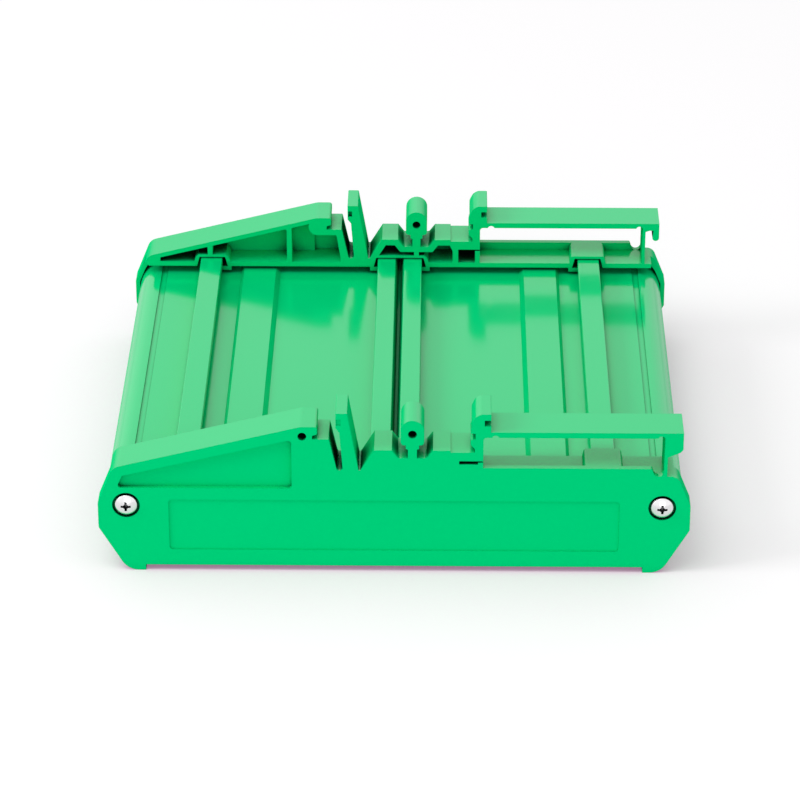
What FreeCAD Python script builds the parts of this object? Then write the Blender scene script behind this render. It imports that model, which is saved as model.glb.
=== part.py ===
import FreeCAD, Part
import math
import os

os.makedirs("parts", exist_ok=True)
Vec = FreeCAD.Vector

# overall
width = 128.8
length = 116.0
body_top = 24.0
plate_depth = 9.2
lip_depth = 4.7
wall = 1.4
rim = 1.2
side_rim = 1.05
clear = 0.25

# how far a cut runs past a face, and how far joined forms run into each other
past = 1.0
embed = 0.5

# corner roundings
tiny_round = 0.2
small_round = 0.4
mid_round = 0.6

# end plate side shape
side_low = 10.65
side_drop = 7.35
low_slope = 60.0
high_slope = 68.0
low_round = 4.3
side_round = 0.9
shoulder_round = 2.2
pad_width = 10.05
edge_step = 1.35
flange_inset = 3.7
flange_chamfer = 0.8

# label panel and the upright wall's shoulder
label_inset = 5.35
label_low = 5.2
label_height = 12.4
label_deep = 0.3
label_round = 0.8
wall_rise = 1.85
scoop_width = 2.05
scoop_round = 1.2
scoop_lean = 0.6
scoop_rise = 1.25

# rail seat, above the body
rail_span = 35.2
seat_rise = 8.65
wedge_lip = 0.85
lip_slant = 0.35
wedge_rise = 3.0
crest_rise = 1.4
nose_reach = 1.05
nose_flat = 3.5
nose_round = 3.0
crest_round = 2.8
tip_inset = 2.2
tip_rise = 0.65

# slit and spring finger
slit_inset = 5.25
slit_width = 1.3
slit_round = 0.5
slit_open = 1.65
finger_root = 3.4
finger_tip = 2.5
finger_knee = 1.7
finger_lean = 0.7
finger_lip = 0.8
lip_rise = 1.0
foot_rise = 6.25
dent_width = 0.85
dent_height = 1.35
dent_drop = 2.8
dent_deep = 0.8
dent_shallow = 0.2
dent_wall = 0.2

# the two humps and the pin boss between them
finger_gap = 0.4
hump_base = 4.15
hump_rise = 1.9
hump_flat = 3.8
hump_run = 1.4
hump_back = 3.0
hump_skin = 1.5
boss_stand = 3.15
boss_hole_rise = 2.65
boss_lift = 0.8
boss_radius = 2.53
boss_corner = 0.8
boss_stem = 1.95
boss_neck = 2.9
neck_height = 0.95
pin_radius = 0.95
tip_hole_depth = 6.0

# latch, its spring beam and the release arm
latch_stem = 1.7
latch_lip = 1.45
latch_reach = 0.85
latch_gap = 0.15
latch_root = 0.9
latch_nose = 1.2
nose_lean = 0.25
stem_fillet = 0.75
hook_head = 4.2
head_drop = 2.4
head_run = 1.9
bulge_drop = 0.75
bulge_run = 0.8
head_round = 1.3
driver_level = 1.45
driver_notch = 1.4
beam_inset = 4.1
beam_gap = 1.25
beam_drop = 0.45
beam_thick = 2.1
beam_wall = 0.6
beam_end = 1.15
slot_gap = 0.8
slot_tip = 0.35
arm_rise = 1.92
arm_thick = 1.3
arm_inset = 2.05
hook_drop = 3.2
hook_root = 1.35
hook_thick = 1.7
post_inset = 3.94
post_thick = 0.68
post_fillet = 0.85
arch_drop = 0.5
arch_rise = 0.35
arch_run = 0.95
arch_deep = 1.45
relief = 0.85
relief_side = 1.0
relief_level = 0.3
web_low = 1.7
web_lift = 0.2
web_toe = 0.6

# pockets and webs of the moulding
skin = 1.1
web = 1.2
web_offset = 2.9
rail_web_inset = 9.05
pocket_inset = 6.5
slit_wall_low = 1.8
slit_wall_high = 2.9
tip_floor_drop = 1.5
recess = 1.2
recess_inset = 5.5
recess_drop = 2.7
recess_edge = 2.1
recess_below = 3.5

# channel section
base_thick = 1.8
field_gap = 1.8
side_thick = 1.7
corner_round = 5.0
bend_round = 3.0
inner_round = 2.0
slot_rise = 11.4
board_slot = 1.7
ledge_reach = 2.4
ledge_thick = 1.0

# channel ribs, bands and grooves
rib_rise = 0.95
rib_inset = 21.5
rib_width = 5.1
mid_edge = 5.3
mid_gap = 2.0
mid_lean = 0.7
undercut = 1.6
lip_thick = 1.95
band_inset = 5.3
band_width = 7.7
band_rise = 1.1
band_steep = 0.7
even = 1.2
even_deep = 1.4
groove_inset = 6.85
groove_width = 1.45
groove_deep = 0.35

# clip hats over the ribs
hat_clear = 1.0
hat_side_clear = 1.3
hat_wall = 0.9
hat_roof = 0.65
hat_round = 0.7
hat_lean = 0.6
hook_lip = 1.0
hook_clear = 0.75
hook_bite = 0.3

# screws and their seats
screw_inset = 6.15
screw_z = 16.2
head_radius = 2.43
head_gap = 0.58
head_rise = 0.95
head_flat = 1.2
sink = 1.2
seat_boss = 1.0
seat_wall = 1.1
tube_wall = 1.1
shank_radius = 1.2
shank_fit = 0.05
shank_length = 9.5
hole_radius = 1.6
tube_web = 2.2
tube_slit = 1.0
slit_reach = 4.0


def angle(before, here, after):
    a = (Vec(*before) - Vec(*here)).normalize()
    b = (Vec(*after) - Vec(*here)).normalize()
    return a, b, a.getAngle(b) / 2


def corner(before, here, after, run):
    a, b, half_angle = angle(before, here, after)
    radius = run * math.tan(half_angle)
    middle = (a + b).normalize() * (radius / math.sin(half_angle) - radius)
    return [Vec(*here) + a * run, Vec(*here) + middle, Vec(*here) + b * run]


def tangent_runs(flat, radii):
    """How far each rounding reaches along its edges, limited by the edges' length."""
    count = len(flat)
    runs = []
    for i, radius in enumerate(radii):
        half_angle = angle(flat[i - 1], flat[i], flat[(i + 1) % count])[2]
        runs.append(radius / math.tan(half_angle))
    limits = []
    for i in range(count):
        edge = (Vec(*flat[(i + 1) % count]) - Vec(*flat[i])).Length
        both = runs[i] + runs[(i + 1) % count]
        limits.append(min(1, 0.998 * edge / both) if both else 1)
    return [run * min(limits[i - 1], limits[i]) for i, run in enumerate(runs)]


def outline(points):
    """Closed face in the XZ plane; each point is x, z and an optional corner radius."""
    flat = [(p[0], 0, p[1]) for p in points]
    runs = tangent_runs(flat, [p[2] if len(p) > 2 else 0 for p in points])
    spans = []
    for i, here in enumerate(flat):
        if runs[i]:
            spans.append(corner(flat[i - 1], here, flat[(i + 1) % len(flat)], runs[i]))
        else:
            spans.append([Vec(*here)])
    edges = []
    for i, span in enumerate(spans):
        if len(span) == 3:
            edges.append(Part.Arc(*span).toShape())
        following = spans[(i + 1) % len(spans)][0]
        if span[-1].distanceToPoint(following) > 1e-6:
            edges.append(Part.makeLine(span[-1], following))
    return Part.Face(Part.Wire(edges))


def block(points, start=0.0, stop=plate_depth):
    face = outline(points)
    face.translate(Vec(0, start, 0))
    return face.extrude(Vec(0, stop - start, 0))


def box(x0, x1, z0, z1, start=0.0, stop=plate_depth):
    return Part.makeBox(abs(x1 - x0), stop - start, z1 - z0, Vec(min(x0, x1), start, z0))


def rod(x, z, radius, start=0.0, stop=plate_depth):
    return Part.makeCylinder(radius, stop - start, Vec(x, start, z), Vec(0, 1, 0))


def mirrored(shape):
    return [shape, shape.mirror(Vec(0, 0, 0), Vec(1, 0, 0))]


def joined(shapes):
    return shapes[0].multiFuse(shapes[1:]).removeSplitter()


def inset(points, amounts):
    """The same convex outline with each edge moved inwards, counter-clockwise points."""
    moved = []
    count = len(points)
    for i in range(count):
        lines = []
        for j in (i - 1, i):
            (xa, za), (xb, zb) = points[j], points[(j + 1) % count]
            size = math.hypot(xb - xa, zb - za)
            nx, nz = -(zb - za) / size, (xb - xa) / size
            lines.append((nx, nz, nx * xa + nz * za + amounts[j]))
        (a, b, c), (d, e, f) = lines
        det = a * e - b * d
        moved.append(((c * e - b * f) / det, (a * f - c * d) / det))
    return moved


def rounded(points, radii):
    if len(radii) < len(points):
        radii = radii + radii[::-1]
    return [(x, z, r) for (x, z), r in zip(points, radii)]


def beside(a, b, level, gap):
    """x at a level of a line that runs beside the line from a to b, gap away from it."""
    run, rise = b[0] - a[0], b[1] - a[1]
    return a[0] + run * (level - a[1]) / rise + gap * math.hypot(run, rise) / abs(rise)


half = width / 2
side_high = body_top - side_drop
low_run = side_low / math.tan(math.radians(low_slope))
high_run = side_drop / math.tan(math.radians(high_slope))
half_shape = [(half - low_run, 0), (half, side_low), (half, side_high), (half - high_run, body_top)]
body_shape = half_shape + [(-x, z) for x, z in reversed(half_shape)]
inner_shape = inset(body_shape, [side_rim] * 3 + [rim] + [side_rim] * 4)
gaps = [side_rim + clear] * 3
section_shape = inset(body_shape, gaps + [rim + field_gap] + gaps + gaps[:1])
pad_inner = half - pad_width
flange_end = half - flange_inset
screw_x = half - screw_inset
rib_edge = half - rib_inset
rib_top = body_top + rib_rise
roof = rib_top + clear + hat_roof

# foot levels and places, from the rail's two edges
seat = body_top + seat_rise
wedge_top = seat + wedge_rise
foot_top = seat + foot_rise
arm_top = seat + arm_rise
arm_bottom = arm_top - arm_thick
slit_floor = body_top + skin
hump_floor = body_top + hump_base
hump_top = hump_floor + hump_rise
beam_top = hump_top - beam_drop
beam_bottom = beam_top - beam_thick
rail_left = -rail_span / 2
rail_right = rail_span / 2
slit_left = rail_left + slit_inset
finger_left = slit_left + slit_width
finger_right = finger_left + finger_root
hump_left = finger_right + finger_gap + hump_back
beam_left = rail_right - beam_inset
hump_right = beam_left - beam_gap
boss_x = (hump_left + hump_right) / 2
boss_bottom = hump_floor + boss_stand
boss_level = boss_bottom + boss_hole_rise
stem_right = rail_right + latch_stem
latch_face = rail_right - latch_reach
head_right = latch_face + hook_head
arm_end = half - arm_inset
post_left = arm_end - post_inset
post_right = post_left + post_thick
nose_x = rail_left + nose_reach
flat_x = nose_x - nose_flat
crest_z = body_top + crest_rise
crest_x = (crest_z - side_high) / math.tan(math.radians(high_slope)) - half
wedge_rate = (wedge_top - crest_z) / (flat_x - crest_x)
tip_x = rail_left - tip_inset
tip_z = seat + tip_rise

# channel
field = section_shape[3][1]
under = field - base_thick
undercut_level = rib_top - lip_thick
run = length - 2 * (wall + seat_boss)
outer_radii = [low_round - side_rim, bend_round, bend_round, corner_round]
section = outline(rounded(section_shape, outer_radii))
hollow_shape = inset(section_shape, [side_thick] * len(body_shape))
hollow = outline(rounded(hollow_shape, [inner_round] * 3 + [corner_round - side_thick]))
wall_inner = hollow_shape[1][0]


def bar(points):
    return block(points, 0, run)


def channel_shell():
    whole = section.extrude(Vec(0, run, 0))
    cavity = hollow.extrude(Vec(0, run, 0)).common(box(-half, half, 0, under, 0, run))
    mouth = box(-pad_inner - rim, pad_inner + rim, -past, slot_rise / 2, 0, run)
    return whole.cut([cavity, mouth])


def channel_ribs():
    side = bar([
        (rib_edge, undercut_level), (rib_edge, rib_top, tiny_round),
        (rib_edge + rib_width, rib_top, tiny_round), (rib_edge + rib_width, under),
        (rib_edge + undercut, under), (rib_edge + undercut, undercut_level)])
    middle = bar([
        (mid_gap / 2, rib_top, tiny_round), (mid_gap / 2 - mid_lean, field), (0, field), (0, under),
        (mid_edge - undercut, under), (mid_edge - undercut, undercut_level),
        (mid_edge, undercut_level), (mid_edge, rib_top, tiny_round)])
    return mirrored(side) + mirrored(middle)


def channel_bands():
    """Raised bands, the hollows that keep their wall even, and the two fine grooves."""
    far = rib_edge - band_inset
    near = far - band_width
    crown = field + band_rise
    slope = band_steep * band_rise
    bands = mirrored(bar([
        (near - band_rise, under), (near - band_rise, field), (near, crown), (far, crown),
        (far + slope, field), (far + slope, under)]))
    cuts = mirrored(bar([
        (near + past, under - past), (near + past + slope, under + band_rise),
        (far - past - slope, under + band_rise), (far - past, under - past)]))
    groove = half - groove_inset
    cuts += mirrored(box(groove - groove_width, groove, field - groove_deep, field + past, 0, run))
    return bands, cuts


def rib_hollows():
    left = rib_edge + undercut + even
    right = rib_edge + rib_width - even
    return mirrored(box(left, right, under - past, rib_top - even_deep, 0, run))


def board_ledges():
    ledges = []
    for level in (slot_rise - ledge_thick, slot_rise + board_slot):
        ledges += mirrored(bar([
            (wall_inner + embed, level), (wall_inner + embed, level + ledge_thick),
            (wall_inner - ledge_reach, level + ledge_thick, tiny_round),
            (wall_inner - ledge_reach, level, tiny_round)]))
    return ledges


def screw_tubes():
    tube = shank_radius + shank_fit
    solids = []
    holes = []
    for side in (-1, 1):
        x = side * screw_x
        solids.append(rod(x, screw_z, tube + tube_wall, 0, run))
        solids.append(box(x, side * wall_inner, screw_z - tube_web / 2, screw_z + tube_web / 2, 0, run))
        holes.append(rod(x, screw_z, tube, -past, run + past))
        holes.append(box(x, x - side * slit_reach, screw_z - tube_slit / 2, screw_z + tube_slit / 2,
                         -past, run + past))
    return solids, holes


def board_channel():
    tubes, holes = screw_tubes()
    bands, cuts = channel_bands()
    whole = joined([channel_shell()] + bands + channel_ribs() + board_ledges() + tubes)
    whole = whole.cut(holes + rib_hollows() + cuts)
    whole.translate(Vec(0, -run / 2, 0))
    return whole


# end plate, outer face at y = 0, inner side towards +y
def foot_wedge():
    """The wedge with the rail's fixed lip, the slit and the spring finger beside it."""
    knee = seat + finger_knee
    lip = finger_left - finger_lean - finger_lip
    whole = block([
        (-half + high_run, body_top - rim), (-half + high_run, body_top), (crest_x, crest_z, crest_round),
        (flat_x, wedge_top, nose_round), (nose_x, wedge_top, mid_round),
        (nose_x, seat + wedge_lip + lip_slant, small_round), (rail_left, seat + wedge_lip, tiny_round),
        (rail_left, seat), (slit_left - slit_open, seat, tiny_round), (slit_left, slit_floor, slit_round),
        (finger_left, slit_floor, slit_round), (finger_left - finger_lean, knee),
        (lip, knee + lip_rise), (lip, foot_top, tiny_round), (lip + finger_tip, foot_top, tiny_round),
        (finger_right, slit_floor), (finger_right, body_top - rim)])
    dent = lip + dent_wall
    low = foot_top - dent_drop
    dents = [box(dent, dent + dent_width, low, low + dent_height, start, stop)
             for start, stop in ((-past, dent_shallow), (plate_depth - dent_deep, plate_depth + past))]
    return whole.cut(dents)


def foot_humps():
    root = finger_right - embed
    return block([
        (root, body_top - rim), (root, slit_floor), (hump_left - hump_back, slit_floor),
        (hump_left, hump_top), (hump_left + hump_flat, hump_top),
        (hump_left + hump_flat + hump_run, hump_floor, mid_round),
        (hump_right - hump_flat - hump_run, hump_floor, mid_round),
        (hump_right - hump_flat, hump_top), (hump_right, hump_top),
        (hump_right, beam_top), (stem_right, beam_top), (stem_right, body_top - rim)])


def foot_boss():
    crown = boss_level + boss_lift + boss_radius
    stem = boss_x + boss_stem / 2
    neck = boss_x + boss_neck / 2
    right = [
        (boss_x + boss_radius, crown, boss_radius), (boss_x + boss_radius, boss_bottom, boss_corner),
        (neck, boss_bottom), (neck, boss_bottom - neck_height, tiny_round),
        (stem, boss_bottom - neck_height, tiny_round), (stem, hump_floor - embed)]
    left = [(2 * boss_x - p[0],) + p[1:] for p in reversed(right)]
    return block(left + right)


def foot_latch():
    nose = seat + latch_gap
    stem = block([
        (rail_right - nose_lean / 2, beam_top - embed), (rail_right - nose_lean / 2, beam_top + latch_root),
        (latch_face - nose_lean, nose - latch_nose, small_round), (latch_face, nose, tiny_round),
        (rail_right, nose), (rail_right, nose + latch_lip), (latch_face, nose + latch_lip),
        (latch_face, foot_top - head_drop, head_round),
        (latch_face + bulge_run, foot_top - bulge_drop, head_round),
        (latch_face + head_run, foot_top, head_round), (head_right, foot_top, tiny_round),
        (head_right, arm_bottom), (stem_right, arm_bottom, stem_fillet), (stem_right, beam_top - embed)])
    driver = box(head_right - driver_notch, head_right + past, arm_top + driver_level,
                 arm_top + driver_level + driver_notch, -past, plate_depth + past)
    dips = [rod(x, arm_bottom - relief_level, relief, -past, plate_depth + past)
            for x in (head_right + relief_side, post_left - relief_side + dent_wall)]
    return joined([stem, release_arm()]).cut(dips + [driver])


def release_arm():
    inside = arm_end - hook_root
    low = arm_bottom - hook_drop
    ceiling = arm_bottom - arch_drop
    hook_round = hook_thick / 2
    arm = block([
        (stem_right - embed, arm_top), (stem_right - embed, arm_bottom),
        (arm_end, arm_bottom), (arm_end, arm_top)])
    hook = block([
        (inside, arm_top - embed), (inside, ceiling), (arm_end - hook_thick, low, hook_round),
        (arm_end, low, hook_round), (arm_end, arm_top - embed)])
    post = box(post_left, post_right, body_top - embed, arm_top - embed)
    fillet = box(post_left, arm_end - embed, arm_bottom - post_fillet, arm_top - embed)
    arch = block([
        (post_right, ceiling - arch_rise, tiny_round), (post_right + arch_run, ceiling, mid_round),
        (inside, ceiling, tiny_round), (inside, arm_bottom - arch_deep),
        (post_right, arm_bottom - arch_deep)], -past, plate_depth + past)
    return joined([joined([arm, post, fillet]).cut([arch]), hook])


def end_web():
    low = arm_bottom - hook_drop
    return block([
        (post_left, arm_top - embed), (post_left, low - web_low), (arm_end - web_toe, low - web_lift, embed),
        (arm_end, low + embed, tiny_round), (arm_end, arm_top - embed)], 0, wall)


def hat(left, right, feet):
    """Clip hat over a channel rib: outer solid, the space inside it and its hooks."""
    ceiling = rib_top + clear
    base = body_top - rim
    outer = block([(left - hat_wall, base), (left - hat_wall + hat_lean, roof, hat_round),
                   (right + hat_wall - hat_lean, roof, hat_round), (right + hat_wall, base)], wall / 2)
    space = block([(left, field), (left, base), (left + hat_lean, ceiling, tiny_round),
                   (right - hat_lean, ceiling, tiny_round), (right, base), (right, field)], wall)
    hooks = []
    low = field + hook_clear
    for x, toward in feet:
        far = x + toward * (hat_clear + undercut - hook_bite)
        back = x - toward * hat_wall
        hooks.append(box(back, far, low, low + hook_lip, wall))
        hooks.append(box(back, x, low, base + embed, wall))
    return outer, space, hooks


def rib_hats():
    near = rib_edge - hat_side_clear
    far = rib_edge + rib_width + hat_clear
    mid = mid_edge + hat_clear
    return [hat(-far, -near, [(-near, -1)]), hat(-mid, mid, [(-mid, 1), (mid, -1)]),
            hat(near, far, [(near, 1)])]


def pockets():
    drop = skin * math.hypot(1, wedge_rate)

    def ceiling(x):
        return wedge_top + wedge_rate * (x - flat_x) - drop

    half_web = web / 2
    low_lean = hat_lean * rim / (roof - body_top + rim)
    turn = hat_lean + hat_round
    outer = -half + pocket_inset
    hat_left = -rib_edge - rib_width - hat_clear - hat_wall
    hat_right = -rib_edge + hat_side_clear + hat_wall
    hat_mid = mid_edge + hat_clear + hat_wall
    web_one = -rib_edge - web_offset
    web_two = rail_left - rail_web_inset
    tip_floor = seat - tip_floor_drop
    hump_roof = hump_top - hump_skin
    low_roof = hump_floor - hump_skin + hat_round / 5
    back = ((hump_left - hump_back, slit_floor), (hump_left, hump_top))
    fall = ((hump_left + hump_flat, hump_top), (hump_left + hump_flat + hump_run, hump_floor))
    boss_left = boss_x - half_web
    first = [(outer, body_top, tiny_round), (hat_left + low_lean, body_top),
             (hat_left + hat_lean, roof - hat_round), (hat_left + turn, roof), (web_one - half_web, roof),
             (web_one - half_web, ceiling(web_one - half_web), tiny_round),
             (outer, ceiling(outer), tiny_round)]
    second = [(web_one + half_web, roof), (hat_right - turn, roof), (hat_right - hat_lean, roof - hat_round),
              (hat_right - low_lean, body_top), (web_two - half_web, body_top, tiny_round),
              (web_two - half_web, ceiling(web_two - half_web), small_round),
              (web_one + half_web, ceiling(web_one + half_web), tiny_round)]
    third = [(web_two + half_web, body_top, tiny_round), (slit_left - slit_wall_low, body_top, tiny_round),
             (slit_left - slit_wall_high, tip_floor, small_round), (tip_x, tip_floor),
             (tip_x, ceiling(tip_x)), (web_two + half_web, ceiling(web_two + half_web), small_round)]
    fourth = [(beside(*back, roof, hump_skin), roof), (boss_left, roof), (boss_left, low_roof),
              (beside(*fall, low_roof, -hump_skin), low_roof, mid_round),
              (beside(*fall, hump_roof, -hump_skin), hump_roof, tiny_round),
              (beside(*back, hump_roof, hump_skin), hump_roof, tiny_round)]
    shift = 2 * boss_x
    fifth = [(boss_x + half_web, roof), (hat_mid - turn, roof), (hat_mid - hat_lean, roof - hat_round),
             (hat_mid - low_lean, body_top), (hump_right + embed, body_top, tiny_round),
             (hump_right + embed, hump_floor - skin, tiny_round),
             (hump_right - dent_wall, hump_roof, tiny_round),
             (shift - beside(*fall, hump_roof, -hump_skin), hump_roof, tiny_round),
             (shift - beside(*fall, low_roof, -hump_skin), low_roof, mid_round),
             (boss_x + half_web, low_roof)]
    left, right = beam_left + beam_wall, stem_right - beam_end
    sixth = [(left, body_top, tiny_round), (right, body_top, tiny_round),
             (right, beam_bottom), (left, beam_bottom)]
    shapes = (first, second, third, fourth, fifth, sixth)
    tools = [block(points, wall, plate_depth + past) for points in shapes]
    tools[2] = tools[2].cut(rod(tip_x, tip_z, pin_radius + web, 0, plate_depth + 2 * past))
    return tools


def slots_and_bores():
    left = beam_left + beam_wall
    depth = (-past, plate_depth + past)
    return [box(left, stem_right - beam_end, beam_bottom - slot_gap, beam_bottom, *depth),
            box(left, stem_right + past, beam_bottom - slot_tip, beam_bottom, *depth),
            rod(boss_x, boss_level, pin_radius, *depth),
            rod(tip_x, tip_z, pin_radius, -past, tip_hole_depth)]


def recess_shape(left, right, low, shift):
    line = wedge_top - recess_drop
    return [(left - slit_width + shift, low, mid_round), (right, low, mid_round),
            (right, line + shift + wedge_rate * (right - flat_x), hat_round),
            (left + shift, line + shift + wedge_rate * (left - flat_x) + tiny_round, small_round)]


def side_recess(space):
    """The sunken triangle beside the wedge, and the wall that steps in behind it."""
    left = -half + recess_inset
    right = flat_x - recess_edge
    cut = block(recess_shape(left, right, body_top - recess_below, 0), -past, recess)
    step = block(recess_shape(left + 2 * wall, right + wall, body_top - rim / 2, past),
                 wall, wall + recess)
    return cut, step.cut(space)


def screw_seats():
    bosses = []
    bores = []
    for x in (-screw_x, screw_x):
        bosses.append(rod(x, screw_z, head_radius + head_gap + seat_wall, wall / 2, wall + seat_boss))
        bores.append(rod(x, screw_z, head_radius + head_gap, -past, sink))
        bores.append(rod(x, screw_z, hole_radius, -past, wall + seat_boss + past))
    return bosses, bores


def end_plate(with_web):
    side = [low_round, side_round, side_round]
    face = block(rounded(body_shape, side + [shoulder_round, 0] + side[::-1]))
    inner = rounded(inner_shape, [low_round - side_rim, embed, embed, corner_round + clear])
    space = block(inner, wall, plate_depth + past)
    below = box(-pad_inner, pad_inner, -past, edge_step, -past, plate_depth + past)
    scoop = post_left - scoop_width
    wall_top = body_top + wall_rise
    shoulder = block([
        (stem_right - past, body_top - past), (stem_right - past, wall_top),
        (scoop - scoop_lean, wall_top, small_round), (scoop, body_top, scoop_round),
        (post_left, body_top, scoop_round), (post_left, body_top + scoop_rise),
        (post_right, body_top + scoop_rise), (post_right, body_top - past)], 0, wall)
    hats = rib_hats()
    recess_cut, recess_wall = side_recess(hats[0][1])
    back = block([
        (-half - past, -past), (half + past, -past), (half + past, body_top + past),
        (flange_end, body_top + past), (flange_end, body_top - rim), (-flange_end, body_top - rim),
        (-flange_end - flange_chamfer, body_top - rim + flange_chamfer),
        (-half - past, body_top - rim + flange_chamfer)], lip_depth, plate_depth + past)
    foot = [foot_wedge(), foot_humps(), foot_boss(), foot_latch(), shoulder]
    solid = joined([face.cut([space, below])] + foot + [h[0] for h in hats])
    solid = solid.cut(pockets() + [h[1] for h in hats] + slots_and_bores() + [recess_cut, back])
    label_half = pad_inner - label_inset
    label_high = label_low + label_height
    label = block([(-label_half, label_low, label_round), (label_half, label_low, label_round),
                   (label_half, label_high, label_round), (-label_half, label_high, label_round)],
                  -past, label_deep)
    bosses, bores = screw_seats()
    solid = joined([solid, recess_wall] + bosses + [hook for h in hats for hook in h[2]])
    solid = solid.cut(bores + [label])
    return joined([solid, end_web()]) if with_web else solid


def screw():
    """Pan head on the y axis, seat at y = 0, shank towards +y."""
    head = rod(0, 0, head_radius, -sink, 0)
    top = Part.makeCone(head_radius, head_flat, head_rise, Vec(0, -sink, 0), Vec(0, -1, 0))
    return joined([head, top, rod(0, 0, shank_radius, -embed, shank_length)])


front = end_plate(True)
rear = end_plate(False).mirror(Vec(0, 0, 0), Vec(0, 1, 0))
front.translate(Vec(0, -length / 2, 0))
rear.translate(Vec(0, length / 2, 0))

pieces = {"board_channel": board_channel(), "front_end_plate": front, "rear_end_plate": rear}
for end, y, turn in (("front", -length / 2 + sink, 0), ("rear", length / 2 - sink, 180)):
    for side, x in (("left", -screw_x), ("right", screw_x)):
        piece = screw()
        piece.rotate(Vec(0, 0, 0), Vec(0, 0, 1), turn)
        piece.translate(Vec(x, y, screw_z))
        pieces["screw_%s_%s" % (end, side)] = piece

for name, shape in pieces.items():
    if shape.ShapeType == "Compound" and len(shape.Solids) == 1:
        shape = shape.Solids[0]
    shape.exportStep("parts/%s.step" % name)
    print(name, len(shape.Solids), shape.isValid(), round(shape.Volume, 1), shape.BoundBox)
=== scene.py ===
import bpy
import math
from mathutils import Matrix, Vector


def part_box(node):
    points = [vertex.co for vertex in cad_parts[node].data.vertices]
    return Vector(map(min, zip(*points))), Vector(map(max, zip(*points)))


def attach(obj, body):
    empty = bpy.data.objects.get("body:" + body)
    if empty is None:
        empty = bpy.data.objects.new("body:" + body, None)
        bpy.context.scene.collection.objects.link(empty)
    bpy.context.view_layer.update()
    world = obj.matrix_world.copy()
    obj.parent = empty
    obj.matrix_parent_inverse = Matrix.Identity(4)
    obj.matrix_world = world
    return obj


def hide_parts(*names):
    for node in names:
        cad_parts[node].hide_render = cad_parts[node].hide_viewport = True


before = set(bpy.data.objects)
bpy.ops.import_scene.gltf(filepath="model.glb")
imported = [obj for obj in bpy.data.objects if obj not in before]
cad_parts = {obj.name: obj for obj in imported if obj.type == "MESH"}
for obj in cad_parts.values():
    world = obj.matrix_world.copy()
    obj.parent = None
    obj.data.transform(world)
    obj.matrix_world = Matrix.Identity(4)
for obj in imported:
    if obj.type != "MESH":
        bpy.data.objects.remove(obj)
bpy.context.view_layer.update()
print("frame loaded:", sorted(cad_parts))

# how finely gaps and edges are looked at in the materials
quality = {
    "gapSamples": 8,
    "edgeSamples": 4,
}


# wraps a socket, so that shader maths reads as plain expressions
class Signal:
    def __init__(self, graph, socket):
        self.graph = graph
        self.socket = socket

    def maths(self, operation, first, second):
        return self.graph.add("ShaderNodeMath", {"operation": operation}, {0: first, 1: second})

    def __add__(self, other):
        return self.maths("ADD", self, other)

    def __sub__(self, other):
        return self.maths("SUBTRACT", self, other)

    def __mul__(self, other):
        return self.maths("MULTIPLY", self, other)

    def __rsub__(self, other):
        return self.maths("SUBTRACT", other, self)

    __radd__ = __add__
    __rmul__ = __mul__


class Graph:
    def __init__(self, tree):
        self.tree = tree
        self.nodes = tree.nodes

    # one way in for every node: its settings first, then values or links of its sockets
    def add(self, kind, settings=None, sockets=None, output=0):
        node = self.nodes.new(kind)
        for key, value in (settings or {}).items():
            if key == "stops":
                self.setStops(node.color_ramp, value)
            else:
                setattr(node, key, value)
        self.feed(node, sockets or {})
        return Signal(self, node.outputs[output])

    def feed(self, node, sockets):
        for key, value in sockets.items():
            if isinstance(value, Signal):
                self.tree.links.new(value.socket, node.inputs[key])
            else:
                node.inputs[key].default_value = value

    def setStops(self, ramp, stops):
        while len(ramp.elements) < len(stops):
            ramp.elements.new(0.5)
        for element, (position, level) in zip(ramp.elements, stops):
            element.position = position
            element.color = (level, level, level, 1)

    # 1 for the kinds of ray named, 0 for the others
    def seenBy(self, *kinds):
        rays = [self.add("ShaderNodeLightPath", output="Is %s Ray" % kind) for kind in kinds]
        seen = rays[0]
        for ray in rays[1:]:
            seen = seen.maths("MAXIMUM", seen, ray)
        return seen


# a material with its own graph
class Finish(Graph):
    def __init__(self, name, **constants):
        self.material = bpy.data.materials.new(name)
        self.material.use_nodes = True
        super().__init__(self.material.node_tree)
        self.shader = self.nodes["Principled BSDF"]
        self.surface(**constants)

    def surface(self, **sockets):
        self.feed(self.shader, {key.replace("_", " "): value for key, value in sockets.items()})

    def noise(self, scale, detail=2, stretch=(1, 1, 1)):
        place = self.add("ShaderNodeTexCoord", output="Object")
        placed = self.add("ShaderNodeMapping", {}, {"Vector": place, "Scale": stretch})
        return self.add("ShaderNodeTexNoise", {}, {"Vector": placed, "Scale": scale, "Detail": detail}, "Fac")

    # 1 where nothing stands within reach, less in gaps and corners
    def openness(self, reach):
        return self.add("ShaderNodeAmbientOcclusion", {"samples": quality["gapSamples"]}, {"Distance": reach}, "AO")

    def ramp(self, signal, *stops):
        return self.add("ShaderNodeValToRGB", {"stops": stops}, {"Fac": signal})

    def blend(self, mask, first, second):
        return self.add("ShaderNodeMix", {"data_type": "RGBA"}, {0: mask, 6: first, 7: second}, 2)

    # rounds the look of sharp edges, then adds a relief on top
    def relief(self, pattern, look):
        rounded = self.add("ShaderNodeBevel", {"samples": quality["edgeSamples"]}, {"Radius": look["edge"]})
        return self.add("ShaderNodeBump", {}, {"Height": pattern, "Strength": look["strength"],
                                               "Distance": look["height"], "Normal": rounded})


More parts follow.
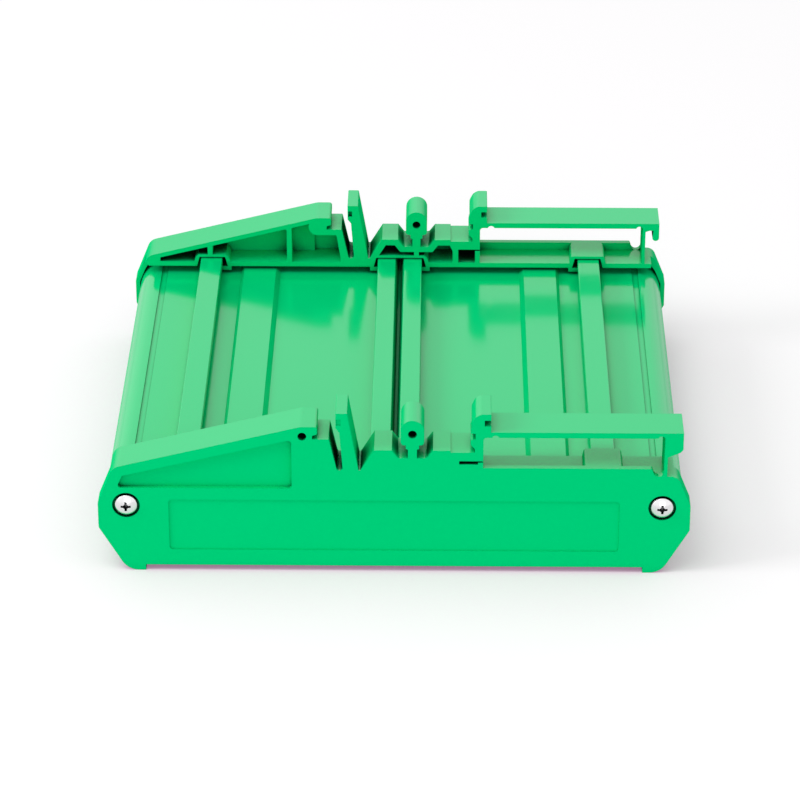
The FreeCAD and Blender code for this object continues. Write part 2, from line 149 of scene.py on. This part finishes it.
# camera where the photograph was taken from
viewpoint = {
    "place": (0.00985, -0.7658, 0.4124),
    "down": math.radians(27.60),
    "turn": math.radians(0.69),
    "lens": 168.0,
    "sensor": 36.0,
    "clipStart": 0.01,
}
bpy.ops.object.camera_add(location=viewpoint["place"],
                          rotation=(math.pi / 2 - viewpoint["down"], 0, viewpoint["turn"]))
camera = bpy.context.object
camera.data.lens = viewpoint["lens"]
camera.data.sensor_width = viewpoint["sensor"]
camera.data.clip_start = viewpoint["clipStart"]
bpy.context.scene.camera = camera

# pale floor and white surroundings: the camera sees the floor with a glow that brings it to white;
# close to the object the glow is less and tinted, a painted contact shadow that also takes out part of the green
# light bounced onto the floor
studio = {
    "floorSize": 8.0,
    "floorLit": (0.85, 0.85, 0.85, 1),  # as the object sees it
    "floorShown": (0.72, 0.71, 0.72, 1),  # as the camera and reflections see it
    "glowInPaintedShadow": (0.25, 0.12, 0.21, 1),
    "glowFar": (0.306, 0.306, 0.306, 1),
    "glowMirrored": (0.1, 0.1, 0.1, 1),
    "noGlow": (0, 0, 0, 1),
    "paintedShadowReach": 0.04,
    "paintedShadowRamp": ((0.4, 0), (1, 1)),
    "skyLight": 0.62,
    "skyShown": 1.0,
}
bpy.ops.mesh.primitive_plane_add(size=studio["floorSize"])
floor = bpy.context.object
floor.name = "floor"
paleFloor = Finish("paleFloor", Roughness=1.0, Specular_IOR_Level=0.0, Emission_Strength=1.0)
seen = paleFloor.seenBy("Camera", "Glossy", "Transmission")
# painted shadow: the glow drops to the darker, pinker near colour where the object hems the floor in
outsidePaintedShadow = paleFloor.ramp(paleFloor.openness(studio["paintedShadowReach"]), *studio["paintedShadowRamp"])
glow = paleFloor.blend(outsidePaintedShadow, studio["glowInPaintedShadow"], studio["glowFar"])
glow = paleFloor.blend(paleFloor.seenBy("Glossy"), glow, studio["glowMirrored"])
paleFloor.surface(Base_Color=paleFloor.blend(seen, studio["floorLit"], studio["floorShown"]),
                  Emission_Color=paleFloor.blend(seen, studio["noGlow"], glow))
floor.data.materials.append(paleFloor.material)

world = bpy.data.worlds.new("studio")
world.use_nodes = True
bpy.context.scene.world = world
sky = Graph(world.node_tree)
sky.feed(sky.nodes["Background"], {
    "Color": (1, 1, 1, 1),
    "Strength": sky.seenBy("Camera", "Glossy", "Transmission") * (studio["skyShown"] - studio["skyLight"])
    + studio["skyLight"]})

lamps = {
    "left": {"place": (-1.4, -0.35, 0.9), "size": 0.6, "power": 9.0},
    "above": {"place": (-0.4, -0.4, 1.55), "size": 1.0, "power": 6.6},
    "front": {"place": (0.15, -1.5, 0.5), "size": 0.8, "power": 3.7},
}
for name, lamp in lamps.items():
    bpy.ops.object.light_add(type="AREA", location=lamp["place"])
    light = bpy.context.object
    light.name = name
    light.data.size = lamp["size"]
    light.data.energy = lamp["power"]
    light.rotation_euler = Vector(lamp["place"]).to_track_quat("Z", "Y").to_euler()
print("stage, camera and lamps placed")

green = {
    # body is the plastic's own colour; the dark one is painted into gaps and corners as shade
    "body": (0.0, 0.62, 0.197, 1),
    "paintedShade": (0.0, 0.012, 0.004, 1),
    "index": 1.6,
}


# one green plastic for plates and channel: its colour is painted darker in narrow gaps, where its own colour is all
# it sees, as painted shade, and it mirrors its surroundings only on faces seen at a slant
def plastic(name, look):
    finish = Finish(name, Specular_IOR_Level=0.0, Coat_IOR=green["index"], Coat_Roughness=look["roughness"])
    openness = finish.openness(look["gapReach"])
    slant = finish.add("ShaderNodeLayerWeight", {}, {"Blend": 0.5}, "Facing")
    grain = finish.noise(look["grain"], 3, look["stretch"])
    patches = finish.noise(look["patches"], 2, look["stretch"])
    # painted shade: the occlusion mask blends the colour to the dark green in gaps and corners
    finish.surface(Base_Color=finish.blend(finish.ramp(openness, *look["paintedShadeRamp"]), green["paintedShade"], green["body"]),
                   Coat_Weight=finish.ramp(openness, *look["reflecting"]) * finish.ramp(slant, *look["gloss"]),
                   Roughness=(patches - 0.5) * look["spread"] + look["roughness"],
                   Normal=finish.relief(grain, look))
    return finish.material


# end plates: fine even grain
moulded = {
    "roughness": 0.17,
    "spread": 0.05,
    "patches": 90,
    "grain": 2600,
    "stretch": (1, 1, 1),
    "strength": 0.05,
    "height": 0.0001,
    "edge": 0.00012,
    "gloss": ((0.16, 0.0), (0.5, 0.94), (0.58, 1.0), (0.66, 0.45), (0.74, 0.08), (0.9, 0.0)),
    "gapReach": 0.005,
    "paintedShadeRamp": ((0.12, 0), (0.24, 0.12), (0.34, 0.44), (0.46, 0.86), (0.62, 1)),
    "reflecting": ((0.25, 0), (0.55, 1)),
}
# channel: smoother, with faint lines along its length
drawn = {
    "roughness": 0.13,
    "spread": 0.03,
    "patches": 60,
    "grain": 60,
    "stretch": (40, 0.6, 40),
    "strength": 0.04,
    "height": 0.0001,
    "edge": 0.0001,
    "gloss": ((0.16, 0.0), (0.5, 0.93), (0.6, 1.0), (0.82, 0.9), (0.92, 0.4), (1.0, 0.22)),
    "gapReach": 0.002,
    "paintedShadeRamp": ((0.05, 0), (0.2, 0.44), (0.5, 0.52), (0.8, 1)),
    "reflecting": ((0.3, 0), (0.8, 1)),
}
# screws: bright metal, with painted shade that darkens its colour inside the cross
polished = {
    "colour": (0.9, 0.89, 0.9, 1),
    "paintedShade": (0.02, 0.02, 0.022, 1),
    "roughness": 0.2,
    "spread": 0.08,
    "grain": 1500,
    "strength": 0.02,
    "height": 0.0001,
    "edge": 0.00006,
    "gapReach": 0.0012,
    "paintedShadeRamp": ((0.45, 0), (0.85, 1)),
}


def nickel(look):
    finish = Finish("nickel", Metallic=1.0)
    wear = finish.noise(look["grain"], 3)
    gaps = finish.ramp(finish.openness(look["gapReach"]), *look["paintedShadeRamp"])
    # painted shade: the metal's colour goes dark where the occlusion mask finds gaps
    finish.surface(Base_Color=finish.blend(gaps, look["paintedShade"], look["colour"]),
                   Roughness=(wear - 0.5) * look["spread"] + look["roughness"],
                   Normal=finish.relief(wear, look))
    return finish.material


def dress(node, material):
    node.data.materials.clear()
    node.data.materials.append(material)


plates, channel, metal = plastic("mouldedPlastic", moulded), plastic("drawnPlastic", drawn), nickel(polished)
for name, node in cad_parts.items():
    dress(node, metal if name.startswith("screw") else channel if name == "board_channel" else plates)
print("materials made")

# pan head screw, modelled once at the origin with its head upwards, then copied to the four places
screw = {
    "facets": 64,
    "headRadius": 0.00239,
    "headDepth": 0.0012,
    "crown": 0.00095,
    "rings": (0.00235, 0.0022, 0.00195, 0.0016, 0.0012, 0.00075, 0.0003),
    "shankRadius": 0.0012,
    "shankLength": 0.0095,
    "crossReach": 0.0015,
    "crossWidth": 0.0006,
    "crossDepth": 0.0011,
    "crossCentre": 0.0017,
    "crossTip": 0.0001,
    "crossTaper": (0.55, 0.75, 1),
    "smoothUnder": math.radians(30),
}


# leaves the mesh in edit mode with only the wanted faces selected
def selectFaces(mesh, wanted):
    bpy.ops.object.mode_set(mode="OBJECT")
    for edge in mesh.edges:
        edge.select = False
    for point in mesh.vertices:
        point.select = False
    for face in mesh.polygons:
        face.select = wanted(face)
    bpy.ops.object.mode_set(mode="EDIT")
    bpy.ops.mesh.select_mode(type="FACE")


def useModifier(piece, kind, **settings):
    bpy.context.view_layer.objects.active = piece
    modifier = piece.modifiers.new(kind.lower(), kind)
    for key, value in settings.items():
        setattr(modifier, key, value)
    bpy.ops.object.modifier_apply(modifier=modifier.name)


# one bar of the cross, narrower at its foot
def crossCutter(turn):
    bpy.ops.mesh.primitive_cube_add(size=1)
    cutter = bpy.context.object
    cutter.scale = (2 * screw["crossReach"], screw["crossWidth"], 2 * screw["crossDepth"])
    bpy.ops.object.transform_apply(location=False, rotation=False, scale=True)
    selectFaces(cutter.data, lambda face: face.normal.z < -0.9)
    bpy.ops.transform.resize(value=screw["crossTaper"])
    bpy.ops.object.mode_set(mode="OBJECT")
    cutter.rotation_euler.z = turn
    cutter.location.z = screw["headDepth"] + screw["crown"]
    bpy.ops.object.transform_apply(location=True, rotation=True, scale=False)
    return cutter


# how high the dome stands over its rim, at a distance from the screw's axis
def domeRise(ring):
    radius = (screw["headRadius"] ** 2 + screw["crown"] ** 2) / (2 * screw["crown"])
    return math.sqrt(radius ** 2 - ring ** 2) - radius + screw["crown"]


def panScrew():
    bpy.ops.object.select_all(action="DESELECT")
    bpy.ops.mesh.primitive_cylinder_add(vertices=screw["facets"], radius=screw["headRadius"],
                                        depth=screw["headDepth"], location=(0, 0, screw["headDepth"] / 2))
    piece = bpy.context.object
    bpy.ops.object.transform_apply(location=True, rotation=False, scale=False)
    selectFaces(piece.data, lambda face: face.normal.z > 0.9)
    before = screw["headRadius"]
    for ring in screw["rings"]:
        bpy.ops.mesh.inset(thickness=before - ring, depth=domeRise(ring) - domeRise(before))
        before = ring
    selectFaces(piece.data, lambda face: face.normal.z < -0.9)
    bpy.ops.mesh.inset(thickness=screw["headRadius"] - screw["shankRadius"])
    bpy.ops.mesh.extrude_region_move(TRANSFORM_OT_translate={"value": (0, 0, -screw["shankLength"])})
    bpy.ops.object.mode_set(mode="OBJECT")
    cutters = [crossCutter(0), crossCutter(math.pi / 2)]
    bpy.ops.mesh.primitive_cone_add(vertices=4, radius1=screw["crossCentre"], radius2=screw["crossTip"],
                                    depth=2 * screw["crossDepth"],
                                    location=(0, 0, screw["headDepth"] + screw["crown"]),
                                    rotation=(math.pi, 0, 0))
    cutters.append(bpy.context.object)
    for cutter in cutters:
        useModifier(piece, "BOOLEAN", object=cutter, operation="DIFFERENCE", solver="EXACT")
        bpy.data.objects.remove(cutter)
    bpy.ops.object.select_all(action="DESELECT")
    piece.select_set(True)
    bpy.context.view_layer.objects.active = piece
    bpy.ops.object.shade_smooth_by_angle(angle=screw["smoothUnder"])
    return piece


model = panScrew()
for name, node in sorted(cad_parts.items()):
    if not name.startswith("screw"):
        continue
    low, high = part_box(name)
    facing = -1 if low[1] + high[1] < 0 else 1
    piece = model.copy()
    piece.data = model.data.copy()
    bpy.context.collection.objects.link(piece)
    piece.name = name + "_detailed"
    shankEnd = high[1] if facing < 0 else low[1]
    piece.rotation_euler = (-facing * math.pi / 2, 0, 0)
    piece.location = ((low[0] + high[0]) / 2, shankEnd + facing * screw["shankLength"], (low[2] + high[2]) / 2)
    bpy.ops.object.select_all(action="DESELECT")
    piece.select_set(True)
    bpy.context.view_layer.objects.active = piece
    bpy.ops.object.transform_apply(location=True, rotation=True, scale=True)
    dress(piece, metal)
    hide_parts(name)
    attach(piece, "root")
bpy.data.objects.remove(model)
print("screws made")

bpy.context.scene.view_settings.view_transform = "Standard"
